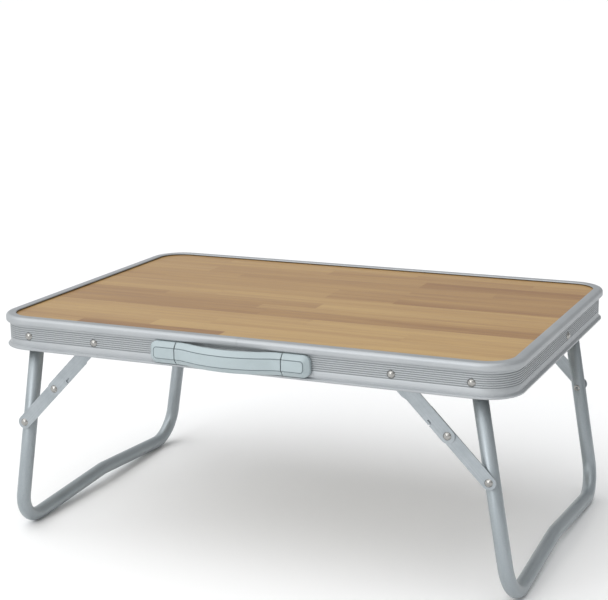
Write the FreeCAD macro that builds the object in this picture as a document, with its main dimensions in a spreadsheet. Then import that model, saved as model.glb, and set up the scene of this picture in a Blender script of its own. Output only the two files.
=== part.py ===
"""Folding side table: a framed board on two folding U-shaped tube legs, with a carrying handle.

Frame: X along the long rails, Y from the handle side to the back, Z up.
The origin is on the floor under the middle of the table. Millimetres and degrees.
"""
import FreeCAD, Part
import math
import os
import Sketcher
from FreeCAD import Placement, Rotation, Vector

os.makedirs("parts", exist_ok=True)
doc = FreeCAD.newDocument("folding_side_table")
sheet = doc.addObject("Spreadsheet::Sheet", "sizes")
nodes = []


# ---------------------------------------------------------------- sizes and their formulas

class Size:
    """A dimension that carries its number and the spreadsheet formula behind it."""

    def __init__(self, value, text=None):
        self.value = float(value)
        self.text = text or repr(float(value))

    def __add__(self, other):
        other = as_size(other)
        return Size(self.value + other.value, f"({self.text} + {other.text})")

    def __sub__(self, other):
        other = as_size(other)
        return Size(self.value - other.value, f"({self.text} - {other.text})")

    def __mul__(self, other):
        other = as_size(other)
        return Size(self.value * other.value, f"({self.text} * {other.text})")

    def __truediv__(self, other):
        other = as_size(other)
        return Size(self.value / other.value, f"({self.text} / {other.text})")

    def __neg__(self):
        return self * -1

    def __radd__(self, other):
        return as_size(other) + self

    def __rsub__(self, other):
        return as_size(other) - self

    def __rmul__(self, other):
        return as_size(other) * self


def as_size(amount):
    return amount if isinstance(amount, Size) else Size(amount)


def sine(angle):
    return Size(math.sin(math.radians(angle.value)), f"sin({angle.text})")


def cosine(angle):
    return Size(math.cos(math.radians(angle.value)), f"cos({angle.text})")


def tangent(angle):
    return Size(math.tan(math.radians(angle.value)), f"tan({angle.text})")


def arc_tangent(ratio):
    return Size(math.degrees(math.atan(ratio.value)), f"(atan({ratio.text}) / 1 deg)")


def root(amount):
    return Size(math.sqrt(amount.value), f"sqrt({amount.text})")


def cell(alias, value, note):
    """One driving dimension: a plain number in the sheet, named by its alias."""
    row = cell.rows = cell.rows + 1
    sheet.set(f"A{row}", note)
    sheet.set(f"B{row}", str(value))
    sheet.setAlias(f"B{row}", alias)
    return Size(value, f"sizes.{alias}")


cell.rows = 0

# Overall
table_height = cell("table_height", 261, "top of the rail above the floor")
frame_long = cell("frame_long", 594, "length over the rail's outer wall")
frame_deep = cell("frame_deep", 398, "depth over the rail's outer wall")
corner_radius = cell("corner_radius", 36, "outer wall radius at the frame corners")

# Rail section, measured down from its top and out from its outer wall
rail_tall = cell("rail_tall", 37, "height of the rail")
rail_wall = cell("rail_wall", 1.6, "thickness of the rail's wall")
bead_out = cell("bead_out", 4.2, "how far the top bead stands out of the wall")
bead_tall = cell("bead_tall", 9.2, "height of the top bead")
bead_round = cell("bead_round", 3.9, "upper radius of the bead")
bead_under = cell("bead_under", 2.4, "lower radius of the bead")
bead_wall = cell("bead_wall", 2.6, "wall left outside the board slot")
lip_in = cell("lip_in", 7.3, "reach of the lip over the board")
lip_thick = cell("lip_thick", 2.2, "thickness of that lip")
nose_thick = cell("nose_thick", 1.1, "thickness of the lip's thin edge")
nose_in = cell("nose_in", 4, "depth of the relief under that edge")
ledge_in = cell("ledge_in", 9, "reach of the ledge under the board")
ledge_thick = cell("ledge_thick", 1.3, "thickness of the ledge")
rib_first = cell("rib_first", 12.1, "first groove below the rail's top")
rib_pitch = cell("rib_pitch", 2.29, "pitch of the grooves")
rib_width = cell("rib_width", 1.1, "width of a groove")
rib_depth = cell("rib_depth", 0.6, "depth of a groove")
foot_out = cell("foot_out", 3, "how far the rail's bottom lip stands out")
foot_tall = cell("foot_tall", 3.4, "height of the bottom lip")
foot_round = cell("foot_round", 1.3, "radius on the bottom lip")
seam_at = cell("seam_at", 3.3, "the rail's butt seam along the front")
seam_gap = cell("seam_gap", 0.3, "gap in the butt seam")
groove_count = 7

# Board
board_thick = cell("board_thick", 3, "thickness of the board")
board_play = cell("board_play", 0.1, "room above the board in its slot")
board_edge_gap = cell("board_edge_gap", 2, "room between board edge and slot end")

# Pivots
pivot_drop = cell("pivot_drop", 21.4, "rivet line below the rail's top")
leg_pivot_at = cell("leg_pivot_at", 256, "leg pivots from the middle")
brace_top_at = cell("brace_top_at", 172.4, "upper brace pivots from the middle")
leg_tilt = cell("leg_tilt", 9.3, "outward lean of the open leg")
foot_pivot = cell("foot_pivot", 104.75, "brace pivot on the leg, from the leg pivot")
shank_radius = cell("shank_radius", 2.5, "rivet shank radius")
head_radius = cell("head_radius", 4.4, "rivet head radius")
head_tall = cell("head_tall", 2.5, "height of the domed head")
tail_radius = cell("tail_radius", 3.6, "rolled tail radius")
tail_tall = cell("tail_tall", 1.5, "height of the rolled tail")
tail_bore = cell("tail_bore", 1.5, "radius of the hollow in the tail")
fit_gap = cell("fit_gap", 0.05, "radial clearance round a shank")
slip_gap = cell("slip_gap", 0.15, "clearance between parts that slide on each other")

# Leg tube
tube_radius = cell("tube_radius", 8, "leg tube outer radius")
tube_wall = cell("tube_wall", 1.2, "leg tube wall")
tube_inset = cell("tube_inset", 18, "tube centre from the rail's inner wall")
tube_above = cell("tube_above", 9, "tube end above its pivot")
bend_radius = cell("bend_radius", 38, "centre line radius of the foot bends")
rise_angle = cell("rise_angle", 3.6, "slope of the foot bar towards its middle")
rise_radius = cell("rise_radius", 60, "radius of the bend in the middle of the foot bar")

# Braces
strap_thick = cell("strap_thick", 1.5, "brace strap thickness")
upper_wide = cell("upper_wide", 16, "width of the upper strap")
lower_wide = cell("lower_wide", 15, "width of the lower strap")
joggle_from = cell("joggle_from", 23.5, "start of the upper strap's joggle")
joggle_long = cell("joggle_long", 5.5, "length of the joggle's slope")
strap_inset = cell("strap_inset", 3.8, "joggled strap from the rail's inner wall")
tail_long = cell("tail_long", 34, "tail of the lower strap past the middle rivet")
tail_round = cell("tail_round", 2, "corner radius of that tail")
latch_at = cell("latch_at", 63.5, "end of the spring latch's slot from the top pivot")
latch_long = cell("latch_long", 5.5, "length of the latch slot along the strap")
latch_deep = cell("latch_deep", 4, "depth of the latch slot from the strap's edge")
latch_slot = cell("latch_slot", 1.2, "width of the latch slot")
bush_radius = cell("bush_radius", 5.5, "outer radius of the spacer bushes")

# Centre batten
batten_at = cell("batten_at", 18.5, "batten behind the middle")
batten_wide = cell("batten_wide", 26, "width of the batten")
batten_thick = cell("batten_thick", 1.5, "thickness of the batten strip")
batten_tab = cell("batten_tab", 28, "bottom of its end tabs below the rail's top")
batten_step = cell("batten_step", 12, "joggle of the batten from the rail's inner wall")

# Handle
handle_at = cell("handle_at", -6, "middle of the handle along the front")
handle_drop = cell("handle_drop", 9.6, "top of the handle below the rail's top")
handle_tall = cell("handle_tall", 23.8, "height of the handle")
handle_panel = cell("handle_panel", 12.2, "height of its flat front")
handle_out = cell("handle_out", 10, "how far the caps stand out")
handle_rim = cell("handle_rim", 5.2, "depth of the side wall under the bevel")
cap_long = cell("cap_long", 31, "length of an end cap")
cap_round = cell("cap_round", 8, "corner radius of a cap's outer end")
panel_round = cell("panel_round", 3.5, "corner radius of its flat front")
cap_shell = cell("cap_shell", 1.8, "front wall of a cap")
cap_room = cell("cap_room", 24, "depth of the pocket that takes the grip's tongue")
grip_half = cell("grip_half", 61.3, "half the grip's visible length")
grip_bow = cell("grip_bow", 11.5, "bow of the grip in the middle")
grip_turn = cell("grip_turn", 50, "reverse radius at the grip's ends")
grip_back = cell("grip_back", 2, "back of the grip's ends from the rail")
cap_gap = cell("cap_gap", 0.2, "gap between grip and caps")
tongue_thick = cell("tongue_thick", 2.5, "thickness of the tongues")
tongue_tall = cell("tongue_tall", 13.6, "height of the tongues")
tongue_long = cell("tongue_long", 20, "length of the tongues")
boss_radius = cell("boss_radius", 3.2, "radius of the screw boss in a cap")
boss_at = cell("boss_at", 9.2, "boss from the cap's inner end")
screw_radius = cell("screw_radius", 1.5, "screw shank radius")
screw_head = cell("screw_head", 3, "screw head radius")
screw_head_tall = cell("screw_head_tall", 1.8, "height of the screw head")
screw_bite = cell("screw_bite", 7, "depth of the screw in its boss")
splice_thick = cell("splice_thick", 1.5, "thickness of the splice plate")
splice_tall = cell("splice_tall", 18, "height of the splice plate")
splice_past = cell("splice_past", 6, "splice plate past each screw")

doc.recompute()

# Places that follow from the sizes above
half_long = frame_long / 2
half_deep = frame_deep / 2
inner_long = half_long - rail_wall
inner_deep = half_deep - rail_wall
pivot_high = table_height - pivot_drop
board_low = lip_thick + board_thick + board_play
hole_radius = shank_radius + fit_gap
lower_inset = strap_inset + strap_thick + slip_gap
handle_mid = table_height - handle_drop - handle_tall / 2
boss_out = grip_half + boss_at

# The brace of an open leg: how far it runs and falls from its top pivot to the leg
pivots_apart = leg_pivot_at - brace_top_at
brace_run = pivots_apart + foot_pivot * sine(leg_tilt)
brace_fall = foot_pivot * cosine(leg_tilt)
brace_long = root(brace_run * brace_run + brace_fall * brace_fall)
brace_angle = arc_tangent(brace_fall / brace_run)
# Both straps lie in line when the leg is open and again when it is folded flat.
upper_long = (brace_long + foot_pivot - pivots_apart) / 2
lower_long = brace_long - upper_long


# ---------------------------------------------------------------- building helpers

def bind(thing, path, amount):
    """Ties a property to the sheet when its amount comes from there."""
    if "sizes." in as_size(amount).text:
        thing.setExpression(path, amount.text)


def new_body(name):
    body = doc.addObject("PartDesign::Body", name)
    body.Label = name
    nodes.append(body)
    return body


def put(thing, x=0, y=0, z=0, axis=(0, 0, 1), angle=0):
    """Places a sub-part: a shift, and a turn about one axis."""
    x, y, z, angle = [as_size(amount) for amount in (x, y, z, angle)]
    shift = Vector(x.value, y.value, z.value)
    thing.Placement = Placement(shift, Rotation(Vector(*axis), angle.value))
    turn = f"rotation(vector({axis[0]}; {axis[1]}; {axis[2]}); {angle.text})"
    thing.setExpression("Placement", f"placement(vector({x.text}; {y.text}; {z.text}); {turn})")


def sketch_on(body, role, name, shift=0):
    """A sketch on one of the body's origin planes, moved along the plane's normal."""
    sketch = body.newObject("Sketcher::SketchObject", name)
    plane = next(item for item in body.Origin.OriginFeatures if item.Role == role)
    sketch.AttachmentSupport = [(plane, "")]
    sketch.MapMode = "FlatFace"
    shift = as_size(shift)
    sketch.AttachmentOffset = Placement(Vector(0, 0, shift.value), Rotation())
    bind(sketch, "AttachmentOffset.Base.z", shift)
    return sketch


def dimension(sketch, kind, where, amount):
    amount = as_size(amount)
    index = sketch.addConstraint(Sketcher.Constraint(kind, *where, amount.value))
    bind(sketch, f"Constraints[{index}]", amount)


def draw(sketch, route, closed=True):
    """Draws straight runs and arcs through points.

    A point is (x, y). A third entry is the radius of the arc from that point to the next,
    positive for a left turn and negative for a right turn.
    """
    spots = [Vector(as_size(p[0]).value, as_size(p[1]).value, 0) for p in route]
    runs = len(route) if closed else len(route) - 1
    first = sketch.GeometryCount
    ends = []
    for i in range(runs):
        start, finish = spots[i], spots[(i + 1) % len(spots)]
        if len(route[i]) == 3:
            radius = as_size(route[i][2])
            side = 1 if radius.value > 0 else -1
            chord = finish - start
            left = Vector(-chord.y, chord.x, 0).normalize()
            rise = math.sqrt(max(radius.value ** 2 - (chord.Length / 2) ** 2, 0))
            centre = (start + finish) / 2 + left * (side * rise)
            low, high = (start, finish) if side > 0 else (finish, start)
            a0 = math.atan2(low.y - centre.y, low.x - centre.x)
            a1 = math.atan2(high.y - centre.y, high.x - centre.x)
            a1 = a1 if a1 > a0 else a1 + 2 * math.pi
            circle = Part.Circle(centre, Vector(0, 0, 1), abs(radius.value))
            geo = sketch.addGeometry(Part.ArcOfCircle(circle, a0, a1), False)
            dimension(sketch, "Radius", (geo,), radius * side)
            ends.append((1, 2) if side > 0 else (2, 1))
        else:
            geo = sketch.addGeometry(Part.LineSegment(start, finish), False)
            ends.append((1, 2))
        dimension(sketch, "DistanceX", (-1, 1, geo, ends[i][0]), route[i][0])
        dimension(sketch, "DistanceY", (-1, 1, geo, ends[i][0]), route[i][1])
    for i in range(runs if closed else runs - 1):
        j = (i + 1) % runs
        sketch.addConstraint(
            Sketcher.Constraint("Coincident", first + i, ends[i][1], first + j, ends[j][0]))
    if not closed:
        last = first + runs - 1
        dimension(sketch, "DistanceX", (-1, 1, last, ends[-1][1]), route[-1][0])
        dimension(sketch, "DistanceY", (-1, 1, last, ends[-1][1]), route[-1][1])
    return sketch


def ring(sketch, x, y, radius):
    """Adds a circle."""
    x, y, radius = as_size(x), as_size(y), as_size(radius)
    circle = Part.Circle(Vector(x.value, y.value, 0), Vector(0, 0, 1), radius.value)
    geo = sketch.addGeometry(circle, False)
    dimension(sketch, "DistanceX", (-1, 1, geo, 3), x)
    dimension(sketch, "DistanceY", (-1, 1, geo, 3), y)
    dimension(sketch, "Radius", (geo,), radius)
    return sketch


def block(x0, y0, x1, y1):
    """The route of a rectangle."""
    return [(x0, y0), (x1, y0), (x1, y1), (x0, y1)]


def rounded(half_x, half_y, radius):
    """The route of a rectangle with equal round corners, centred on the origin."""
    in_x, in_y = half_x - radius, half_y - radius
    return [(in_x, -half_y, radius), (half_x, -in_y), (half_x, in_y, radius), (in_x, half_y),
            (-in_x, half_y, radius), (-half_x, in_y), (-half_x, -in_y, radius), (-in_x, -half_y)]


def pad(body, sketch, length, both_ways=False, backwards=False):
    feature = body.newObject("PartDesign::Pad", sketch.Name + "_pad")
    feature.Profile = sketch
    feature.SideType = "Symmetric" if both_ways else "One side"
    feature.Reversed = backwards
    feature.Length = as_size(length).value
    bind(feature, "Length", length)
    body.Tip = feature
    return feature


def cut(body, sketch, length=None, backwards=False):
    """A pocket right through both ways, or of one length. It has to take something away."""
    doc.recompute()
    before = body.Shape.Volume
    feature = body.newObject("PartDesign::Pocket", sketch.Name + "_cut")
    feature.Profile = sketch
    if length is None:
        feature.SideType = "Two sides"
        feature.Type = "ThroughAll"
        feature.Type2 = "ThroughAll"
    else:
        feature.Type = "Length"
        feature.Reversed = backwards
        feature.Length = as_size(length).value
        bind(feature, "Length", length)
    body.Tip = feature
    doc.recompute()
    if body.Shape.Volume > before - 0.01:
        raise RuntimeError(f"{feature.Name} cuts nothing")
    return feature


def sweep(body, profile, spine):
    feature = body.newObject("PartDesign::AdditivePipe", profile.Name + "_sweep")
    feature.Profile = profile
    feature.Spine = (spine, [])
    body.Tip = feature
    return feature


def revolved(name, route):
    """A turned piece round its own Y axis, from a profile of (radius, along) points."""
    profile = doc.addObject("Sketcher::SketchObject", name + "_profile")
    draw(profile, route)
    turned = doc.addObject("Part::Revolution", name)
    turned.Source = profile
    turned.Axis = Vector(0, 1, 0)
    turned.Angle = 360
    turned.Solid = True
    return turned


def group(name, pieces):
    """One node that holds several equal, separate solids."""
    node = doc.addObject("Part::Compound", name)
    node.Label = name
    node.Links = pieces
    nodes.append(node)
    return node


def domed_rivet(name, grip):
    """Domed head below zero, shank of the grip's length, rolled hollow tail past it."""
    dome = (head_radius * head_radius + head_tall * head_tall) / (head_tall * 2)
    end = grip + tail_tall
    return revolved(name, [
        (0, -head_tall, dome), (head_radius, 0), (shank_radius, 0), (shank_radius, grip),
        (tail_radius, grip), (tail_radius, end - tail_tall / 3), (tail_radius - 0.6, end),
        (tail_bore, end), (tail_bore, grip - tail_tall), (0, grip - tail_tall)])


# Where the four braces and pivots stand: name, side along X, side along Y
CORNERS = [("front_left", -1, -1), ("front_right", 1, -1), ("back_left", -1, 1), ("back_right", 1, 1)]


def facing(side_y):
    """Turn that points a rivet's shank inwards from the front or the back rail."""
    return 0 if side_y < 0 else 180


# ---------------------------------------------------------------- rail, board and batten

def build_rail():
    """One aluminium extrusion bent round the four corners, butted at the front."""
    body = new_body("frame_rail")

    def at(out, down, *bend):
        return (-half_deep - out, table_height - down, *bend)

    lip_edge = nose_thick - 0.2
    foot_top = rail_tall - foot_tall
    slot_end = bead_out - bead_wall
    section = [
        at(-lip_in, nose_thick), at(-lip_in, lip_edge, lip_edge), at(-lip_in + lip_edge, 0),
        at(bead_out - bead_round, 0, bead_round), at(bead_out, bead_round),
        at(bead_out, bead_tall - bead_under, bead_under), at(bead_out - bead_under, bead_tall),
        at(0, bead_tall),
    ]
    for k in range(groove_count):
        middle = rib_first + rib_pitch * k
        section += [at(0, middle - rib_width / 2), at(-rib_depth, middle),
                    at(0, middle + rib_width / 2)]
    section += [
        at(0, foot_top), at(foot_out, foot_top + foot_tall / 3),
        at(foot_out, rail_tall - foot_round, foot_round), at(foot_out - foot_round, rail_tall),
        at(-rail_wall, rail_tall), at(-rail_wall, bead_tall + rail_wall),
        at(slot_end, bead_tall - rail_wall), at(slot_end, board_low + ledge_thick),
        at(-ledge_in, board_low + ledge_thick), at(-ledge_in, board_low), at(slot_end, board_low),
        at(slot_end, lip_thick), at(nose_in - lip_in, lip_thick), at(nose_in - lip_in, nose_thick),
    ]
    start = seam_at + seam_gap / 2
    finish = seam_at - seam_gap / 2
    corner = corner_radius
    in_x, in_y = half_long - corner, half_deep - corner
    spine = draw(sketch_on(body, "XY_Plane", "rail_spine"), [
        (start, -half_deep), (in_x, -half_deep, corner), (half_long, -in_y),
        (half_long, in_y, corner), (in_x, half_deep), (-in_x, half_deep, corner),
        (-half_long, in_y), (-half_long, -in_y, corner), (-in_x, -half_deep),
        (finish, -half_deep)], closed=False)
    profile = draw(sketch_on(body, "YZ_Plane", "rail_section", start), section)
    sweep(body, profile, spine)

    side_holes = sketch_on(body, "XZ_Plane", "rail_side_holes")
    for side_x in (-1, 1):
        ring(side_holes, leg_pivot_at * side_x, pivot_high, hole_radius)
        ring(side_holes, brace_top_at * side_x, pivot_high, hole_radius)
    cut(body, side_holes)
    end_holes = ring(sketch_on(body, "YZ_Plane", "rail_end_holes"), batten_at, pivot_high, hole_radius)
    cut(body, end_holes)
    handle_holes = sketch_on(body, "XZ_Plane", "rail_handle_holes")
    for side_x in (-1, 1):
        ring(handle_holes, handle_at + boss_out * side_x, handle_mid, screw_radius + fit_gap)
    cut(body, handle_holes, half_deep + bead_out * 2, backwards=True)


def build_board():
    """Laminated board, held all round in the rail's slot."""
    body = new_body("table_board")
    inset = board_edge_gap - bead_out + bead_wall
    outline = rounded(half_long - inset, half_deep - inset, corner_radius - inset)
    pad(body, draw(sketch_on(body, "XY_Plane", "board_outline"), outline), board_thick)
    put(body, z=table_height - board_low)


def build_batten():
    """Bent steel strip under the board, riveted to both short rails."""
    body = new_body("centre_batten")
    thick = batten_thick
    high_end = table_height - board_low - ledge_thick
    high_mid = table_height - board_low
    low_tab = table_height - batten_tab
    step = inner_long - batten_step
    right = [(inner_long, low_tab), (inner_long, high_end), (step, high_end),
             (step - ledge_thick, high_mid)]
    right_under = [(step - ledge_thick, high_mid - thick), (step, high_end - thick),
                   (inner_long - thick, high_end - thick), (inner_long - thick, low_tab)]
    left = [(-x, z) for x, z in reversed(right)]
    left_under = [(-x, z) for x, z in reversed(right_under)]
    strip = draw(sketch_on(body, "XZ_Plane", "batten_strip", -batten_at),
                 right + left + left_under + right_under)
    pad(body, strip, batten_wide, both_ways=True)
    cut(body, ring(sketch_on(body, "YZ_Plane", "batten_holes"), batten_at, pivot_high, hole_radius))

    rivets = []
    for side_x in (-1, 1):
        rivet = domed_rivet("batten_rivet", rail_wall + thick)
        put(rivet, half_long * side_x, batten_at, pivot_high, angle=90 * side_x)
        rivets.append(rivet)
    group("batten_rivets", rivets)


# ---------------------------------------------------------------- handle

def cap_outline(body, name, out, half_tall, long, radius, side_x):
    """End cap outline at one distance from the rail: square inside, round outside."""
    edge = (grip_half + cap_gap) * side_x
    far = (grip_half + long) * side_x
    near = far - radius * side_x
    turn = radius * side_x
    sketch = sketch_on(body, "XZ_Plane", name, out)
    return draw(sketch, [
        (edge, -half_tall), (near, -half_tall, turn), (far, radius - half_tall),
        (far, half_tall - radius, turn), (near, half_tall), (edge, half_tall)])


def build_cap(name, side_x):
    """Moulded end cap: bevelled shell with a pocket for the tongue and a screw boss."""
    body = new_body(name)
    bevel = (handle_tall - handle_panel) / 2
    half_tall = handle_tall / 2
    base = cap_outline(body, name + "_base", 0, half_tall, cap_long, cap_round, side_x)
    pad(body, base, handle_rim)
    edge = cap_outline(body, name + "_edge", handle_rim, half_tall, cap_long, cap_round, side_x)
    front = cap_outline(body, name + "_front", handle_out, handle_panel / 2, cap_long - bevel,
                        panel_round, side_x)
    loft = body.newObject("PartDesign::AdditiveLoft", name + "_bevel")
    loft.Profile = edge
    loft.Sections = [(front, "")]
    loft.Ruled = True
    body.Tip = loft

    deep = handle_out - cap_shell
    tall = tongue_tall / 2 + cap_gap * 2
    pocket = sketch_on(body, "XZ_Plane", name + "_pocket")
    draw(pocket, block(grip_half * side_x, -tall, (grip_half + cap_room) * side_x, tall))
    cut(body, pocket, deep, backwards=True)
    boss = ring(sketch_on(body, "XZ_Plane", name + "_boss"), boss_out * side_x, 0, boss_radius)
    pad(body, boss, deep + fit_gap)
    thread = ring(sketch_on(body, "XZ_Plane", name + "_thread"), boss_out * side_x, 0, screw_radius)
    cut(body, thread, screw_bite + fit_gap, backwards=True)
    put(body, handle_at, -half_deep, handle_mid)


def build_grip():
    """Bowed strap with flat tongues that slide in the caps."""
    body = new_body("handle_grip")
    turn = 2 * arc_tangent(grip_bow / grip_half)
    bow_radius = grip_half / sine(turn) - grip_turn
    half = grip_half
    easy_x = grip_turn * sine(turn)
    easy_y = grip_turn * (1 - cosine(turn))
    spine = draw(sketch_on(body, "XY_Plane", "grip_spine"), [
        (-half, 0, -grip_turn), (easy_x - half, -easy_y, bow_radius),
        (half - easy_x, -easy_y, -grip_turn), (half, 0)], closed=False)
    half_tall = handle_tall / 2
    half_panel = handle_panel / 2
    section = draw(sketch_on(body, "YZ_Plane", "grip_section", -half), [
        (-grip_back, -half_tall), (-grip_back, half_tall), (-handle_rim, half_tall),
        (-handle_out, half_panel), (-handle_out, -half_panel), (-handle_rim, -half_tall)])
    sweep(body, section, spine)

    slot = boss_radius + cap_gap * 2
    root_x = half - 1
    tip_x = half + tongue_long
    slot_x = boss_out - slot
    half_tongue = tongue_tall / 2
    for name, side_x in (("left", -1), ("right", 1)):
        tongue = sketch_on(body, "XZ_Plane", f"tongue_{name}", grip_back)
        x = [amount * side_x for amount in (root_x, tip_x, slot_x)]
        draw(tongue, [(x[0], -half_tongue), (x[1], -half_tongue), (x[1], -slot), (x[2], -slot),
                      (x[2], slot), (x[1], slot), (x[1], half_tongue), (x[0], half_tongue)])
        pad(body, tongue, tongue_thick)
    put(body, handle_at, -half_deep, handle_mid)


def build_handle_fixings():
    """Splice plate behind the rail's seam, clamped by the two handle screws."""
    body = new_body("frame_splice")
    plate = sketch_on(body, "XZ_Plane", "splice_plate")
    draw(plate, block(-boss_out - splice_past, -splice_tall / 2, boss_out + splice_past,
                      splice_tall / 2))
    pad(body, plate, splice_thick, backwards=True)
    holes = sketch_on(body, "XZ_Plane", "splice_holes")
    for side_x in (-1, 1):
        ring(holes, boss_out * side_x, 0, screw_radius + fit_gap)
    cut(body, holes)
    put(body, handle_at, -inner_deep, handle_mid)

    screws = []
    long = splice_thick + rail_wall + screw_bite
    dome = 0.6
    for side_x in (-1, 1):
        screw = revolved("handle_screw", [
            (0, -screw_head_tall), (screw_head - dome, -screw_head_tall, dome),
            (screw_head, dome - screw_head_tall), (screw_head, 0), (screw_radius, 0),
            (screw_radius, long - 1), (screw_radius - 1, long), (0, long)])
        put(screw, handle_at + boss_out * side_x, splice_thick - inner_deep, handle_mid, angle=180)
        screws.append(screw)
    group("handle_screws", screws)


# ---------------------------------------------------------------- legs

def build_leg(name, side_x):
    """U-shaped tube: two uprights and a foot bar that rises to its middle."""
    body = new_body(f"leg_frame_{name}")
    across = inner_deep - tube_inset
    reach = (pivot_high - tube_radius) / cosine(leg_tilt)
    bend_low = reach - bend_radius
    slope = rise_angle
    after_x = across - bend_radius * (1 + sine(slope))
    after_z = -bend_low - bend_radius * cosine(slope)
    crest_x = rise_radius * sine(slope)
    crest_z = after_z + (after_x - crest_x) * tangent(slope)
    spine = draw(sketch_on(body, "YZ_Plane", f"leg_spine_{name}"), [
        (-across, tube_above), (-across, -bend_low, bend_radius), (-after_x, after_z),
        (-crest_x, crest_z, -rise_radius), (crest_x, crest_z), (after_x, after_z, bend_radius),
        (across, -bend_low), (across, tube_above)], closed=False)
    profile = sketch_on(body, "XY_Plane", f"leg_tube_{name}", tube_above)
    ring(profile, 0, -across, tube_radius)
    ring(profile, 0, -across, tube_radius - tube_wall)
    sweep(body, profile, spine)
    holes = sketch_on(body, "XZ_Plane", f"leg_holes_{name}")
    ring(holes, 0, 0, hole_radius)
    ring(holes, 0, -foot_pivot, hole_radius)
    cut(body, holes)
    put(body, leg_pivot_at * side_x, 0, pivot_high, axis=(0, 1, 0), angle=leg_tilt * -side_x)


def tube_bush(name, long):
    """Plain round spacer for a rivet."""
    return revolved(name, block(hole_radius, 0, bush_radius, long))


def build_leg_pivots(name, side_x):
    """Rivets through rail, spacer and tube; they stay with the rail and the leg turns on them."""
    far_side = tube_inset + tube_radius + slip_gap
    rivets, bushes = [], []
    for side_y in (-1, 1):
        rivet = domed_rivet("leg_pivot_rivet", rail_wall + far_side)
        put(rivet, leg_pivot_at * side_x, half_deep * side_y, pivot_high, angle=facing(side_y))
        rivets.append(rivet)
        bush = tube_bush("leg_pivot_bush", tube_inset - tube_radius - slip_gap)
        put(bush, leg_pivot_at * side_x, inner_deep * side_y, pivot_high, angle=facing(side_y))
        bushes.append(bush)
    group(f"leg_pivot_rivets_{name}", rivets)
    group(f"leg_pivot_bushes_{name}", bushes)


def build_foot_pins(name, side_x):
    """The leg's half of the lower brace pivots: a spacer outside the tube, a tail inside it."""
    x = (leg_pivot_at + foot_pivot * sine(leg_tilt)) * side_x
    z = pivot_high - brace_fall
    start = lower_inset + strap_thick + slip_gap
    grip = tube_inset + tube_radius - start
    end = grip + tail_tall
    pins, bushes = [], []
    for side_y in (-1, 1):
        y = (inner_deep - start) * side_y
        pin = revolved("brace_foot_pin", [
            (0, 0), (shank_radius, 0), (shank_radius, grip), (tail_radius, grip),
            (tail_radius, end - tail_tall / 3), (tail_radius - 0.6, end), (tail_bore, end),
            (tail_bore, grip - tail_tall), (0, grip - tail_tall)])
        put(pin, x, y, z, angle=facing(side_y))
        pins.append(pin)
        bush = tube_bush("brace_foot_bush", tube_inset - tube_radius - start)
        put(bush, x, y, z, angle=facing(side_y))
        bushes.append(bush)
    group(f"brace_foot_pins_{name}", pins)
    group(f"brace_foot_bushes_{name}", bushes)


# ---------------------------------------------------------------- braces

def strap_turn(side_x):
    """Turn about Y that lays a strap's own +X along the brace, from the rail to the leg."""
    return brace_angle if side_x > 0 else 180 - brace_angle


def along_brace(side_x, distance):
    """X and Z of a point on the brace's line, measured from its top pivot."""
    x = (brace_top_at + distance * cosine(brace_angle)) * side_x
    return x, pivot_high - distance * sine(brace_angle)


def build_upper_strap(place, side_x, side_y):
    """Stamped strap: its top end joggles out to the rail, a spring latch is slit in one edge."""
    name = f"brace_upper_{place}"
    body = new_body(name)
    side = -side_y
    half = upper_wide / 2
    end = upper_long + half
    inner = strap_inset + strap_thick
    near = strap_thick + slip_gap
    slope_end = joggle_from + joggle_long
    strip = [(-half, slip_gap), (joggle_from, slip_gap), (slope_end, strap_inset),
             (end, strap_inset), (end, inner), (slope_end, inner), (joggle_from, near),
             (-half, near)]
    folded = sketch_on(body, "XY_Plane", name + "_strip")
    pad(body, draw(folded, [(x, y * side) for x, y in strip]), upper_wide, both_ways=True)

    spare = upper_wide
    ends = sketch_on(body, "XZ_Plane", name + "_ends")
    draw(ends, block(-spare, -spare, end + spare, spare))
    draw(ends, [(0, -half), (upper_long, -half, half), (end, 0, half), (upper_long, half),
                (0, half, half), (-half, 0, half)])
    cut(body, ends)
    holes = sketch_on(body, "XZ_Plane", name + "_holes")
    ring(holes, 0, 0, hole_radius)
    ring(holes, upper_long, 0, hole_radius)
    cut(body, holes)
    edge = -half * side_x
    deep = (latch_deep - half) * side_x
    shoulder = (latch_deep - latch_slot - half) * side_x
    past = (-half - 1) * side_x
    latch = sketch_on(body, "XZ_Plane", name + "_latch")
    draw(latch, [
        (latch_at, past), (latch_at, deep), (latch_at - latch_long, deep),
        (latch_at - latch_long, shoulder), (latch_at - latch_slot, shoulder),
        (latch_at - latch_slot, past)])
    cut(body, latch)
    put(body, brace_top_at * side_x, inner_deep * side_y, pivot_high, (0, 1, 0), strap_turn(side_x))

    x, z = along_brace(side_x, upper_long)
    grip = strap_thick * 2 + slip_gap * 2
    rivet = domed_rivet(f"brace_mid_rivet_{place}", grip)
    rivet.Label = rivet.Name
    put(rivet, x, (inner_deep - strap_inset) * side_y, z, angle=facing(side_y))
    nodes.append(rivet)


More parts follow.
